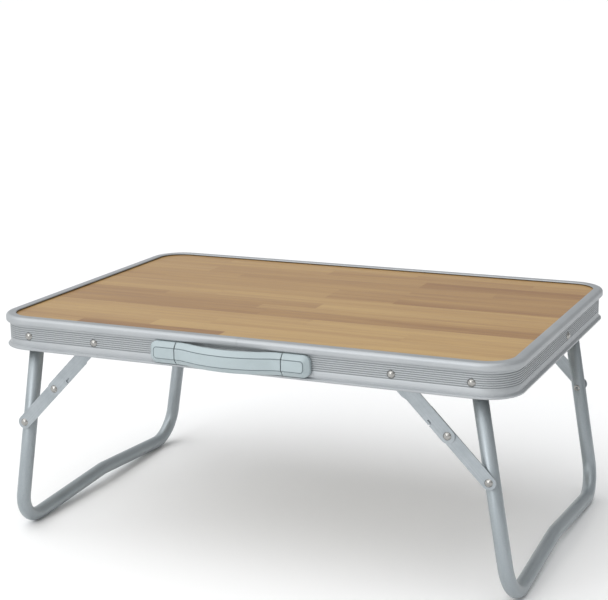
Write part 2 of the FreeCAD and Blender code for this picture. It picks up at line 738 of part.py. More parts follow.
def build_lower_strap(place, side_x, side_y):
    """Flat strap behind the upper one, with a straight tail past the middle rivet."""
    name = f"brace_lower_{place}"
    body = new_body(name)
    half = lower_wide / 2
    middle = lower_inset + strap_thick / 2
    corner = tail_round
    strap = sketch_on(body, "XZ_Plane", name + "_strap", middle * side_y)
    draw(strap, [
        (corner - tail_long, -half), (lower_long, -half, half), (lower_long + half, 0, half),
        (lower_long, half), (corner - tail_long, half, corner), (-tail_long, half - corner),
        (-tail_long, corner - half, corner)])
    pad(body, strap, strap_thick, both_ways=True)
    holes = sketch_on(body, "XZ_Plane", name + "_holes")
    ring(holes, 0, 0, hole_radius)
    ring(holes, lower_long, 0, hole_radius)
    cut(body, holes)
    x, z = along_brace(side_x, upper_long)
    put(body, x, inner_deep * side_y, z, (0, 1, 0), strap_turn(side_x))

    x, z = along_brace(side_x, brace_long)
    dome = (head_radius * head_radius + head_tall * head_tall) / (head_tall * 2)
    head = revolved(f"brace_foot_rivet_{place}", [
        (0, -head_tall, dome), (head_radius, 0), (shank_radius, 0),
        (shank_radius, strap_thick), (0, strap_thick)])
    head.Label = head.Name
    put(head, x, (inner_deep - lower_inset) * side_y, z, angle=facing(side_y))
    nodes.append(head)


def build_top_rivets():
    """Rivets that hold the upper straps to the rail."""
    rivets = []
    for _, side_x, side_y in CORNERS:
        rivet = domed_rivet("brace_top_rivet", rail_wall + strap_thick + slip_gap * 2)
        put(rivet, brace_top_at * side_x, half_deep * side_y, pivot_high, angle=facing(side_y))
        rivets.append(rivet)
    group("brace_top_rivets", rivets)


# ---------------------------------------------------------------- the whole table

build_rail()
build_board()
build_batten()
build_cap("handle_cap_left", -1)
build_cap("handle_cap_right", 1)
build_grip()
build_handle_fixings()
for leg_name, leg_side in (("left", -1), ("right", 1)):
    build_leg(leg_name, leg_side)
    build_leg_pivots(leg_name, leg_side)
    build_foot_pins(leg_name, leg_side)
for place, side_x, side_y in CORNERS:
    build_upper_strap(place, side_x, side_y)
    build_lower_strap(place, side_x, side_y)
build_top_rivets()
doc.recompute()

for item in doc.Objects:
    if "Invalid" in item.State or "Error" in item.State:
        raise RuntimeError(f"{item.Name} failed: {item.State}")
for node in nodes:
    if node.Shape.isNull() or not node.Shape.isValid():
        raise RuntimeError(f"{node.Label} has no valid shape")
for node in nodes:
    node.Shape.exportStep(f"parts/{node.Label}.step")
    print(node.Label, len(node.Shape.Solids), round(node.Shape.Volume, 1))
print("upper strap", round(upper_long.value, 2), "lower strap", round(lower_long.value, 2),
      "brace angle", round(brace_angle.value, 3), "pivot height", round(pivot_high.value, 2))
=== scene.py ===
import math
import random

import bmesh
import bpy
from mathutils import Euler, Matrix, Vector


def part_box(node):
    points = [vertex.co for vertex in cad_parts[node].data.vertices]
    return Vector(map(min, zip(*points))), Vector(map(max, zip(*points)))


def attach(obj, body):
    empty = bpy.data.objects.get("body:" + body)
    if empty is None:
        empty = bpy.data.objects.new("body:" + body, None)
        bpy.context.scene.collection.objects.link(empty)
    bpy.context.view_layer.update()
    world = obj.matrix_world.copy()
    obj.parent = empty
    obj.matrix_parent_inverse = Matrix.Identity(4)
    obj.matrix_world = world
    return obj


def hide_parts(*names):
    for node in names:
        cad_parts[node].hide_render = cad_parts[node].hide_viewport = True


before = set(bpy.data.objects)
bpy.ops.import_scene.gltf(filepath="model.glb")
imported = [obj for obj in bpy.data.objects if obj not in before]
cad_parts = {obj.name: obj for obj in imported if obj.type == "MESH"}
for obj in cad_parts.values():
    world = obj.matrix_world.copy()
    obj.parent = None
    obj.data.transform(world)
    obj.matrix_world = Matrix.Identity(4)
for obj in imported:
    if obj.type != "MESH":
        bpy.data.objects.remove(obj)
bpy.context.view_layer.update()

# ------------------------------------------------------------------------------------------
# The rail: one satin anodised aluminium extrusion with a round bead, an undercut lip over the
# board, seven fine grooves and an outward bottom lip. It is bent round the four corners and
# its ends are butted together at the front.
# ------------------------------------------------------------------------------------------
MM = 0.001
TABLE_HIGH = 261
# The rail's outer wall, from the table's middle lines, and its corners and seam
RAIL_X, RAIL_Y, RAIL_CORNER = 297, 199, 36
SEAM_AT, SEAM_GAP = 3.3, 0.15
# Its section, out or in from the outer wall and down from the top
RAIL_TALL, RAIL_WALL = 37, 1.6
BEAD_OUT, BEAD_LOW, BEAD_TOP_ROUND, BEAD_LOW_ROUND = 4.2, 9.2, 3.9, 2.4
LIP_IN, LIP_ROUND, NOSE_IN, NOSE_TALL = 7.3, 0.9, 3.3, 1.1
SLOT_END, SLOT_TOP, SLOT_LOW = 1.6, 2.2, 5.3
SHELF_IN, SHELF_TALL, SHELF_BRACE = 9, 1.3, 3.2
GROOVES, GROOVE_FIRST, GROOVE_PITCH, GROOVE_DEEP = 7, 12.1, 2.29, 0.6
FOOT_OUT, FOOT_TOP, FOOT_ROUND = 3, 33.3, 1.3


def arc(x, y, radius, start, finish, steps=6):
    """Points round a centre, from one angle to another, in degrees."""
    angles = [math.radians(start + (finish - start) * i / steps) for i in range(steps + 1)]
    return [(x + radius * math.cos(a), y + radius * math.sin(a)) for a in angles]


def add_nodes(tree):
    """A way to add a node to a tree with its links and its settings in one call."""

    def add(kind, links=(), **settings):
        node = tree.nodes.new(kind)
        for key, value in settings.items():
            if key.startswith("in_"):
                slot = key[3:].replace("_", " ")
                node.inputs[int(slot) if slot.isdigit() else slot].default_value = value
            else:
                setattr(node, key, value)
        for target, source in dict(links).items():
            tree.links.new(source, node.inputs[target])
        return node

    return add


def new_tree(name, **sockets):
    """An empty geometry tree with its named inputs, ready to end in one material."""
    tree = bpy.data.node_groups.new(name, "GeometryNodeTree")
    tree.interface.new_socket("Geometry", in_out="INPUT", socket_type="NodeSocketGeometry")
    tree.interface.new_socket("Geometry", in_out="OUTPUT", socket_type="NodeSocketGeometry")
    for label, kind in sockets.items():
        tree.interface.new_socket(label, in_out="INPUT", socket_type="NodeSocket" + kind)
    add = add_nodes(tree)
    return tree, add, add("NodeGroupInput").outputs


def end_tree(add, shape, finish):
    """Every tree ends in real geometry with its material."""
    real = add("GeometryNodeRealizeInstances", {"Geometry": shape})
    done = add("GeometryNodeSetMaterial", {"Geometry": real.outputs[0], "Material": finish})
    add("NodeGroupOutput", {0: done.outputs[0]})


def sweep_tree(name, normals):
    """Sweeps a section along a bent path, and notes how far along and around each point is."""
    tree, add, given = new_tree(name, section="Object", bend_steps="Int", closed_ends="Bool",
                                finish="Material")
    bend = add("GeometryNodeInputNamedAttribute", in_Name="bend").outputs[0]
    path = add("GeometryNodeMeshToCurve", {"Mesh": given["Geometry"]}).outputs[0]
    bent = add("GeometryNodeFilletCurve", {"Curve": path, "Radius": bend, "Count": given["bend_steps"]},
               mode="POLY").outputs[0]
    turned = add("GeometryNodeSetCurveNormal", {"Curve": bent}, mode=normals).outputs[0]
    source = add("GeometryNodeObjectInfo", {"Object": given["section"]}).outputs["Geometry"]
    section = add("GeometryNodeMeshToCurve", {"Mesh": source}).outputs[0]
    length = add("GeometryNodeSplineParameter").outputs["Length"]
    along = add("GeometryNodeStoreNamedAttribute", {"Geometry": turned, "Value": length},
                in_Name="along").outputs[0]
    around = add("GeometryNodeStoreNamedAttribute", {"Geometry": section, "Value": length},
                 in_Name="around").outputs[0]
    swept = add("GeometryNodeCurveToMesh", {"Curve": along, "Profile Curve": around,
                                            "Fill Caps": given["closed_ends"]}).outputs[0]
    end_tree(add, swept, given["finish"])
    return tree


def line_object(name, points, closed, **marks):
    """A line through points given in millimetres, with named values at each of them."""
    mesh = bpy.data.meshes.new(name)
    count = len(points)
    edges = [(i, (i + 1) % count) for i in range(count if closed else count - 1)]
    mesh.from_pydata([Vector(p) * MM for p in points], edges, [])
    for mark, values in marks.items():
        layer = mesh.attributes.new(mark, "FLOAT", "POINT")
        for item, value in zip(layer.data, values):
            item.value = value
    thing = bpy.data.objects.new(name, mesh)
    bpy.context.scene.collection.objects.link(thing)
    return thing


def turn_outwards(shape):
    """Makes every face of a closed shape point outwards."""
    bmesh.ops.recalc_face_normals(shape, faces=shape.faces)
    if shape.calc_volume(signed=True) < 0:
        bmesh.ops.reverse_faces(shape, faces=shape.faces)


def add_piece(shape, name, material, sharp=35):
    """Turns a finished shape into an object, smooth except along its hard edges."""
    mesh = bpy.data.meshes.new(name)
    shape.to_mesh(mesh)
    shape.free()
    if not mesh.materials:
        mesh.materials.append(material)
    mesh.shade_smooth()
    mesh.set_sharp_from_angle(angle=math.radians(sharp))
    piece = bpy.data.objects.new(name, mesh)
    bpy.context.scene.collection.objects.link(piece)
    return piece


def settle(source, name, tree, values, sharp=35, open_ended=False):
    """Runs a tree on its object and keeps the plain mesh, with its faces turned outwards."""
    maker = source.modifiers.new("maker", "NODES")
    maker.node_group = tree
    for item in tree.interface.items_tree:
        if item.in_out == "INPUT" and item.name in values:
            maker[item.identifier] = values[item.name]
    bpy.context.view_layer.update()
    mesh = bpy.data.meshes.new_from_object(source.evaluated_get(bpy.context.evaluated_depsgraph_get()))
    source.modifiers.clear()
    bpy.data.objects.remove(source)
    shape = bmesh.new()
    shape.from_mesh(mesh)
    bmesh.ops.remove_doubles(shape, verts=shape.verts, dist=1e-6)
    if open_ended:
        bmesh.ops.recalc_face_normals(shape, faces=shape.faces)
    else:
        turn_outwards(shape)
    piece = add_piece(shape, name, values["finish"], sharp)
    bpy.data.meshes.remove(mesh)
    return piece


def paint(code):
    """A colour from its usual six-figure code, for a shader."""
    parts = [int(code[i:i + 2], 16) / 255 for i in (0, 2, 4)]
    return [p / 12.92 if p <= 0.04045 else ((p + 0.055) / 1.055) ** 2.4 for p in parts] + [1]


def new_finish(name, **sockets):
    """A material with its one shader, its constant values set, and a way to add nodes to it."""
    material = bpy.data.materials.new(name)
    material.use_nodes = True
    tree = material.node_tree
    shader = tree.nodes["Principled BSDF"]
    for socket, value in sockets.items():
        shader.inputs[socket.replace("_", " ")].default_value = value

    def join(source, socket):
        tree.links.new(source, shader.inputs[socket])

    return material, add_nodes(tree), join


def between(add, amount, low, high, from_low=0.3, from_high=0.7):
    """Stretches a pattern to run from one value to another."""
    return add("ShaderNodeMapRange", {"Value": amount}, in_1=from_low, in_2=from_high, in_3=low,
               in_4=high).outputs[0]


def blend(add, amount, first, second):
    """Mixes two colours by a pattern."""
    return add("ShaderNodeMix", {"Factor": amount}, data_type="RGBA", in_6=paint(first),
               in_7=paint(second)).outputs[2]


def stain(add, amount, under, code):
    """Lays a colour over the others where a pattern or a mark is strong."""
    return add("ShaderNodeMix", {"Factor": amount, 6: under}, data_type="RGBA",
               in_7=paint(code)).outputs[2]


def relief(add, join, pattern, strength, deep=0.0001):
    """Gives a finish its fine relief."""
    bump = add("ShaderNodeBump", {"Height": pattern}, in_Strength=strength, in_Distance=deep)
    join(bump.outputs["Normal"], "Normal")


def noise(add, place, scale, detail=3.0, roughness=0.5):
    """A cloudy pattern, or a streaky one if its place is stretched."""
    return add("ShaderNodeTexNoise", {"Vector": place}, in_Scale=scale, in_Detail=detail,
               in_Roughness=roughness).outputs["Fac"]


def along_and_around(add, stretch_along, stretch_around):
    """The place on a drawn or rolled surface, stretched along the way it was made."""
    along = add("ShaderNodeAttribute", attribute_name="along").outputs["Fac"]
    around = add("ShaderNodeAttribute", attribute_name="around").outputs["Fac"]
    place = add("ShaderNodeCombineXYZ", {"X": along, "Y": around}).outputs[0]
    return add("ShaderNodeMapping", {"Vector": place},
               in_Scale=(stretch_along, stretch_around, 1)).outputs["Vector"]


def anodised_aluminium():
    """Satin anodised metal: fine die lines, a faint uneven bloom, and matt grooves whose colour is
    darkened with painted shade.
    """
    material, add, join = new_finish("satin_anodised_aluminium", Metallic=0.72)
    groove = add("ShaderNodeAttribute", attribute_name="groove").outputs["Fac"]
    lines = noise(add, along_and_around(add, 0.6, 2600), 1.0, 2.0)
    streaks = noise(add, along_and_around(add, 1.5, 500), 1.0, 3.0, 0.6)
    bloom = noise(add, add("ShaderNodeTexCoord").outputs["Object"], 14.0, 4.0, 0.6)
    mixed = add("ShaderNodeMath", {0: streaks, 1: bloom}, operation="ADD").outputs[0]
    face = blend(add, between(add, mixed, 0, 1, 0.75, 1.25), "a5a9ac", "b0b3b5")
    # Painted shade: the groove floors get a darker colour that stands in for the shadow inside them.
    join(stain(add, groove, face, "9b9fa1"), "Base Color")
    gloss = between(add, mixed, 0.48, 0.56, 0.75, 1.25)
    matt = add("ShaderNodeMath", {0: groove}, operation="MULTIPLY", in_1=0.25).outputs[0]
    join(add("ShaderNodeMath", {0: gloss, 1: matt}, operation="ADD").outputs[0], "Roughness")
    relief(add, join, lines, 0.02)
    return material


def rail_section():
    """The rail's cut face as distances out from its outer wall and down from its top."""
    lip = arc(LIP_ROUND - LIP_IN, LIP_ROUND, LIP_ROUND, 180, 270, 4)
    bead = arc(BEAD_OUT - BEAD_TOP_ROUND, BEAD_TOP_ROUND, BEAD_TOP_ROUND, -90, 0, 10)
    bead += arc(BEAD_OUT - BEAD_LOW_ROUND, BEAD_LOW - BEAD_LOW_ROUND, BEAD_LOW_ROUND, 0, 90, 7)
    ribs = [(0.3, BEAD_LOW), (0, BEAD_LOW + 0.3)]
    half_groove = [(0.66, 0), (0.56, 0.1), (0.44, 0.85), (0.2, 1)]
    for k in range(GROOVES):
        centre = GROOVE_FIRST + GROOVE_PITCH * k
        ribs += [(-GROOVE_DEEP * deep, centre - wide) for wide, deep in half_groove]
        ribs += [(-GROOVE_DEEP * deep, centre + wide) for wide, deep in reversed(half_groove)]
    foot = [(0, FOOT_TOP), (0.3, FOOT_TOP + 0.3), (FOOT_OUT - 0.4, FOOT_TOP + 1.15),
            (FOOT_OUT, FOOT_TOP + 1.6)]
    foot += arc(FOOT_OUT - FOOT_ROUND, RAIL_TALL - FOOT_ROUND, FOOT_ROUND, 0, 90, 5)
    shelf_low = SLOT_LOW + SHELF_TALL
    inside = [(-RAIL_WALL, RAIL_TALL), (-RAIL_WALL, shelf_low + 1 + SHELF_BRACE),
              (SLOT_END, shelf_low + 1), (SLOT_END, shelf_low), (-SHELF_IN, shelf_low),
              (-SHELF_IN, SLOT_LOW)]
    slot = [(SLOT_END, SLOT_LOW), (SLOT_END, SLOT_TOP), (-NOSE_IN, SLOT_TOP), (-NOSE_IN, NOSE_TALL),
            (-LIP_IN, NOSE_TALL)]
    return [(out, down, 0) for out, down in lip + bead + ribs + foot + inside + slot]


def rail():
    """One length of the extrusion, from its seam round the four corners and back."""
    route = [(SEAM_AT + SEAM_GAP / 2, -RAIL_Y), (RAIL_X, -RAIL_Y), (RAIL_X, RAIL_Y),
             (-RAIL_X, RAIL_Y), (-RAIL_X, -RAIL_Y), (SEAM_AT - SEAM_GAP / 2, -RAIL_Y)]
    path = line_object("rail_path", [(x, y, TABLE_HIGH) for x, y in route], False,
                       bend=[0] + [RAIL_CORNER * MM] * 4 + [0])
    outline = rail_section()
    # The groove floors, which are matt and get painted shade in the rail's colour
    in_groove = [-GROOVE_DEEP <= out < -GROOVE_DEEP / 2 and BEAD_LOW < down < FOOT_TOP
                 for out, down, _ in outline]
    section = line_object("rail_section", outline, True, groove=in_groove)
    piece = settle(path, "ribbed_rail", sweep_tree("sweep_level", "Z_UP"), {
        "section": section, "bend_steps": 16, "closed_ends": True, "finish": anodised_aluminium()})
    bpy.data.objects.remove(section)
    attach(piece, "table_frame")
    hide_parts("frame_rail")


rail()

# ------------------------------------------------------------------------------------------
# The board: a thin laminated panel faced with strips of light and darker wood, each strip
# pieced end to end, with plain backing paper below. It is held all round in the rail's slot.
# ------------------------------------------------------------------------------------------


def clean_copy(node):
    """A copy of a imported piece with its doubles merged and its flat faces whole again."""
    shape = bmesh.new()
    shape.from_mesh(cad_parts[node].data)
    bmesh.ops.remove_doubles(shape, verts=shape.verts, dist=1e-6)
    bmesh.ops.dissolve_limit(shape, angle_limit=math.radians(0.4), verts=shape.verts, edges=shape.edges)
    return shape


def strip_wood():
    """Satin lacquered wood. Each strip brings its own tone, and its own place in the grain."""
    material, add, join = new_finish("lacquered_wood_strips", Coat_Weight=0.08, Coat_Roughness=0.25)
    place = add("ShaderNodeTexCoord").outputs["Object"]
    start = add("ShaderNodeAttribute", attribute_name="grain_start").outputs["Vector"]
    tone = add("ShaderNodeAttribute", attribute_name="strip_tone").outputs["Fac"]
    moved = add("ShaderNodeVectorMath", {0: place, 1: start}, operation="ADD").outputs["Vector"]

    def grain(along, across, detail, roughness, wander):
        way = add("ShaderNodeMapping", {"Vector": moved}, in_Scale=(along, across, across))
        return add("ShaderNodeTexNoise", {"Vector": way.outputs["Vector"]}, in_Scale=1.0,
                   in_Detail=detail, in_Roughness=roughness, in_Distortion=wander).outputs["Fac"]

    def plus(first, second):
        return add("ShaderNodeMath", {0: first, 1: second}, operation="ADD").outputs[0]

    figure = grain(2.2, 58, 6.0, 0.62, 0.8)
    fibres = grain(9, 340, 4.0, 0.7, 0.0)
    pores = grain(60, 2400, 2.0, 0.5, 0.0)
    depth = plus(plus(tone, between(add, figure, -0.2, 0.24)), between(add, fibres, -0.24, 0.24))
    ramp = add("ShaderNodeValToRGB", {"Fac": depth})
    ends = ramp.color_ramp.elements
    ends[0].position, ends[0].color = 0.0, paint("b2915b")
    ends[1].position, ends[1].color = 1.0, paint("825a30")
    ends.new(0.5).color = paint("9e7a49")
    deepest = between(add, pores, 0.0, 0.35, 0.58, 0.75)
    join(stain(add, deepest, ramp.outputs["Color"], "634225"), "Base Color")
    join(between(add, fibres, 0.5, 0.38), "Roughness")
    relief(add, join, fibres, 0.12, 0.0002)
    return material


def backing_paper():
    """Pale resin paper on the board's underside, with a faint mottle."""
    material, add, join = new_finish("pale_backing_paper", Roughness=0.6)
    place = add("ShaderNodeTexCoord").outputs["Object"]
    mottle = noise(add, place, 35.0, 5.0, 0.6)
    join(blend(add, between(add, mottle, 0, 1), "b9b4aa", "c9c5bc"), "Base Color")
    relief(add, join, noise(add, place, 900.0, 2.0), 0.15)
    return material


# Strip widths from the front edge to the back, in millimetres, and in each strip the end of
# every piece along its length with the piece's tone: 0 is the palest, 1 the darkest. The last
# piece of a strip runs out past the board's end.
BOARD_END = 300
GRAIN_SEED = 11
STRIPS = [
    (30, [(-202, 0.30), (-27, 0.85), (BOARD_END, 0.10)]),
    (27, [(-120, 0.40), (BOARD_END, 0.15)]),
    (28, [(-60, 0.20), (160, 0.20), (BOARD_END, 0.30)]),
    (28, [(-210, 0.25), (40, 0.22), (BOARD_END, 0.12)]),
    (30, [(-30, 0.60), (BOARD_END, 0.72)]),
    (20, [(-45, 0.62), (BOARD_END, 0.36)]),
    (26, [(-180, 0.55), (20, 0.50), (BOARD_END, 0.22)]),
    (26, [(-120, 0.28), (BOARD_END, 0.18)]),
    (25, [(8, 0.35), (93, 0.52), (BOARD_END, 0.68)]),
    (25, [(8, 0.45), (93, 0.58), (BOARD_END, 0.66)]),
    (16, [(-230, 0.62), (93, 0.42), (BOARD_END, 0.52)]),
    (27, [(-140, 0.45), (190, 0.50), (BOARD_END, 0.58)]),
    (29, [(-190, 0.35), (93, 0.46), (BOARD_END, 0.80)]),
    (28, [(-40, 0.40), (220, 0.55), (BOARD_END, 0.42)]),
    (29, [(-190, 0.42), (70, 0.32), (BOARD_END, 0.34)]),
    (40, [(-90, 0.35), (150, 0.25), (BOARD_END, 0.30)]),
]


def board():
    """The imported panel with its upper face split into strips, and its backing below."""
    shape = clean_copy("table_board")
    low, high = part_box("table_board")
    tone = shape.faces.layers.float.new("strip_tone")
    start = shape.faces.layers.float_vector.new("grain_start")
    rng = random.Random(GRAIN_SEED)

    def split(faces, where, way):
        geometry = set(faces)
        for face in faces:
            geometry.update(face.edges)
            geometry.update(face.verts)
        bmesh.ops.bisect_plane(shape, geom=list(geometry), plane_co=where, plane_no=way, dist=1e-6)

    def strip_faces():
        return [f for f in shape.faces
                if front < f.calc_center_median().y < back and f.normal.z > 0.5]

    front = low.y
    for width, pieces in STRIPS:
        back = min(front + width * MM, high.y)
        if back < high.y - 1e-4:
            split(shape.faces[:], (0, back, 0), (0, 1, 0))
        for joint, _ in pieces[:-1]:
            split(strip_faces(), (joint * MM, 0, 0), (1, 0, 0))
        shifts = [Vector((rng.uniform(-9, 9), rng.uniform(-2, 2), rng.uniform(-2, 2))) for _ in pieces]
        for face in strip_faces():
            x = face.calc_center_median().x / MM
            index = next(i for i, (joint, _) in enumerate(pieces) if x < joint)
            face[tone] = pieces[index][1]
            face[start] = shifts[index]
        front = back
    for face in shape.faces:
        face.material_index = 1 if face.normal.z < -0.5 else 0
    piece = add_piece(shape, "wood_strip_board", strip_wood())
    piece.data.materials.append(backing_paper())
    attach(piece, "table_frame")
    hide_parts("table_board")


board()

# ------------------------------------------------------------------------------------------
# The centre batten: a bent strip of zinc plated steel that stiffens the board, riveted to the
# short rails. The splice plate, a flat aluminium strip, bridges the rail's seam from inside.
# ------------------------------------------------------------------------------------------


def mark_way(shape, origin, way, side):
    """Notes how far along and across a rolled strip each point lies."""
    along = shape.verts.layers.float.new("along")
    around = shape.verts.layers.float.new("around")
    for vert in shape.verts:
        vert[along] = (vert.co - origin).dot(way)
        vert[around] = (vert.co - origin).dot(side) + vert.co.y


def soften(piece, width, limit=40, segments=2):
    """A small round on a pressed or moulded piece's hard edges."""
    edge = piece.modifiers.new("edge", "BEVEL")
    edge.width = width * MM
    edge.segments = segments
    edge.limit_method = "ANGLE"
    edge.angle_limit = math.radians(limit)
    edge.harden_normals = True


def rolled_metal(name, light, dark, metallic, shine, dull):
    """Rolled sheet with faint streaks along the strip and cloudy plating."""
    material, add, join = new_finish(name, Metallic=metallic)
    streaks = noise(add, along_and_around(add, 12, 900), 1.0, 3.0, 0.6)
    cloud = noise(add, add("ShaderNodeTexCoord").outputs["Object"], 70.0, 4.0, 0.65)
    mixed = add("ShaderNodeMath", {0: streaks, 1: cloud}, operation="ADD").outputs[0]
    join(blend(add, between(add, mixed, 0, 1, 0.75, 1.25), light, dark), "Base Color")
    join(between(add, mixed, shine, dull, 0.75, 1.25), "Roughness")
    relief(add, join, streaks, 0.06)
    return material


zinc = rolled_metal("zinc_plated_steel", "a9afb3", "989fa3", 0.8, 0.3, 0.46)
mill_aluminium = rolled_metal("mill_aluminium", "b4b8ba", "a5aaad", 0.85, 0.36, 0.5)


def pressed_piece(node, name, body, material, way, side, edge):
    """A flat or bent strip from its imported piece, with its rolling way and softened edges."""
    shape = clean_copy(node)
    low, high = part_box(node)
    mark_way(shape, (low + high) / 2, Vector(way), Vector(side))
    piece = add_piece(shape, name, material)
    soften(piece, edge)
    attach(piece, body)
    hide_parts(node)


for node, name, slot, metal in (("centre_batten", "steel_batten", "batten", zinc),
                                ("frame_splice", "splice_plate", "splice", mill_aluminium)):
    pressed_piece(node, name, "table_frame", metal, (1, 0, 0), (0, 0, 1), 0.3)

# ------------------------------------------------------------------------------------------
# The legs: two thin-walled steel tubes bent to a U, with a foot bar that rises slightly to its
# middle, painted satin silver-grey. The cut ends are hidden inside the rails.
# ------------------------------------------------------------------------------------------
LEAN = math.radians(9.3)
RISE = math.radians(3.6)
# The tube, how far each upright is from the middle line, and how far it reaches past its pivot
TUBE_RADIUS, TUBE_WALL, TUBE_SIDE, TUBE_TOP = 8, 1.2, 179.4, 9
TUBE_SIDES = 48
FOOT_BEND, MIDDLE_BEND = 38, 60
PIVOT_X, PIVOT_HIGH = 256, 239.6


def leg_paint():
    """Satin silver-grey paint: a fine metal flake, a slight orange peel and soft scuffs."""
    material, add, join = new_finish("silver_leg_paint", Metallic=0.6, Coat_Weight=0.25,
                                     Coat_Roughness=0.25)
    place = add("ShaderNodeTexCoord").outputs["Object"]
    scuffs = noise(add, along_and_around(add, 25, 120), 1.0, 4.0, 0.65)
    flake = noise(add, place, 1800.0, 1.0)
    mixed = add("ShaderNodeMath", {0: scuffs, 1: flake}, operation="ADD").outputs[0]
    join(blend(add, between(add, mixed, 0, 1, 0.75, 1.25), "90989c", "9ea5a9"), "Base Color")
    join(between(add, scuffs, 0.34, 0.46), "Roughness")
    relief(add, join, noise(add, place, 420.0, 2.0), 0.08)
    return material


def leg(name, side, tree, section, paint_finish):
    """One tube in its leaning plane, as distances across the table and down from the pivot."""
    reach = (PIVOT_HIGH - TUBE_RADIUS) / math.cos(LEAN)
    bend_start = reach - FOOT_BEND
    after = TUBE_SIDE - FOOT_BEND * (1 + math.sin(RISE))
    after_low = bend_start + FOOT_BEND * math.cos(RISE)
    corner_low = after_low + (TUBE_SIDE - after) * math.tan(RISE)
    middle_low = after_low - after * math.tan(RISE)
    route = [(-TUBE_SIDE, -TUBE_TOP), (-TUBE_SIDE, corner_low), (0, middle_low), (TUBE_SIDE, corner_low),
             (TUBE_SIDE, -TUBE_TOP)]
    points = [(side * (PIVOT_X + down * math.sin(LEAN)), y, PIVOT_HIGH - down * math.cos(LEAN))
              for y, down in route]
    path = line_object("leg_path", points, False,
                       bend=[radius * MM for radius in (0, FOOT_BEND, MIDDLE_BEND, FOOT_BEND, 0)])
    piece = settle(path, f"leg_tube_{name}", tree, {
        "section": section, "bend_steps": 20, "closed_ends": False, "finish": paint_finish},
        open_ended=True)
    wall = piece.modifiers.new("wall", "SOLIDIFY")
    wall.thickness = TUBE_WALL * MM
    wall.offset = -1
    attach(piece, f"leg_{name}")
    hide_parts(f"leg_frame_{name}")


tube_sweep = sweep_tree("sweep_tube", "MINIMUM_TWIST")
tube_round = arc(0, 0, TUBE_RADIUS, 0, 360 - 360 / TUBE_SIDES, TUBE_SIDES - 1)
tube_section = line_object("tube_section", [(x, y, 0) for x, y in tube_round], True)
silver = leg_paint()
for leg_name, side in (("left", -1), ("right", 1)):
    leg(leg_name, side, tube_sweep, tube_section, silver)
bpy.data.objects.remove(tube_section)

# ------------------------------------------------------------------------------------------
# The braces: four pairs of stamped, zinc plated steel straps. The upper strap is joggled and
# has a spring latch slit in one edge; the lower one is flat, with a straight tail.
# ------------------------------------------------------------------------------------------
CORNERS = [("front_left", -1), ("front_right", 1), ("back_left", -1), ("back_right", 1)]
BRACE_ANGLE = math.radians(45.8)
STRAP_EDGE = 0.25

for place, side in CORNERS:
    way = (side * math.cos(BRACE_ANGLE), 0, -math.sin(BRACE_ANGLE))
    across = (side * math.sin(BRACE_ANGLE), 0, math.cos(BRACE_ANGLE))
    for half in ("upper", "lower"):
        node = f"brace_{half}_{place}"
        pressed_piece(node, f"{half}_strap_{place}", node, zinc, way, across, STRAP_EDGE)

# ------------------------------------------------------------------------------------------
# The handle: a bowed strap of pale blue-grey moulded plastic. Its tongues slide in two moulded
# end caps, which are screwed to the rail from inside. A fine crease frames the flat panel.
# ------------------------------------------------------------------------------------------
HANDLE_AT, HANDLE_HIGH, HANDLE_HALF_TALL = -6, 239.5, 11.9
GRIP_HALF, GRIP_BOW, GRIP_TURN, GRIP_BACK = 61.3, 11.5, 50, 2
TONGUE_LONG, TONGUE_HALF_TALL, TONGUE_THICK = 20, 6.8, 2.5
FORK_START, FORK_HALF_TALL = 5.6, 3.6
CAP_LONG, CAP_GAP, CAP_ROUND, CAP_DEEP = 31, 0.9, 8, 8.2
POCKET_LONG, POCKET_HALF_TALL = 24, 7.2
BOSS_AT, BOSS_RADIUS = 9.2, 3.2
# The skin over the bevel and down through the crease to the flat panel, as distances in from
# the edge and out from the rail, and the insets at the bottom of the crease, where shade is painted
SKIN = [(0, 4.7), (0.15, 5.2), (0.55, 5.66), (5.2, 9.5), (5.6, 9.1), (6.05, 9.1), (6.35, 9.8),
        (6.65, 10)]
CREASE = (5.6, 6.05)
# How much the cap's corner radius shrinks for each millimetre of inset
CORNER_FALL = 0.776


def moulded_plastic():
    """Pale blue-grey moulding with a fine spark-eroded texture, a soft, uneven sheen and painted shade
    in the crease.
    """
    material, add, join = new_finish("pale_moulded_plastic")
    place = add("ShaderNodeTexCoord").outputs["Object"]
    texture = noise(add, place, 1500.0, 2.0)
    cloud = noise(add, place, 28.0, 4.0, 0.6)
    groove = add("ShaderNodeAttribute", attribute_name="groove").outputs["Fac"]
    face = blend(add, between(add, cloud, 0, 1), "9da9ac", "a4b0b3")
    # Painted shade: the crease's bottom gets a dark colour that stands in for the shadow in it.
    join(stain(add, groove, face, "6d777b"), "Base Color")
    join(between(add, cloud, 0.4, 0.52), "Roughness")
    relief(add, join, texture, 0.12)
    return material


def on_handle(x, out, up):
    """A point of the handle, given along it, out from the rail and up from its middle."""
    return Vector((HANDLE_AT + x, -RAIL_Y - out, HANDLE_HIGH + up)) * MM


def prism(shape, outline, near, far):
    """A flat outline given depth, from one distance to another out from the rail."""
    rims = [[shape.verts.new(on_handle(x, out, up)) for x, up in outline] for out in (near, far)]
    for rim in rims:
        shape.faces.new(rim)
    for i in range(len(outline)):
        j = (i + 1) % len(outline)
        shape.faces.new([rims[0][i], rims[0][j], rims[1][j], rims[1][i]])


def tool(name, outline, near, far):
    """A block that is cut out of a cap or joined to it."""
    shape = bmesh.new()
    prism(shape, outline, near, far)
    turn_outwards(shape)
    return add_piece(shape, name, plastic)


def block(start, end, half_tall, side):
    """A rectangle on the handle, from one distance along it to another."""
    return [(side * x, up) for x, up in ((start, -half_tall), (end, -half_tall), (end, half_tall),
                                         (start, half_tall))]


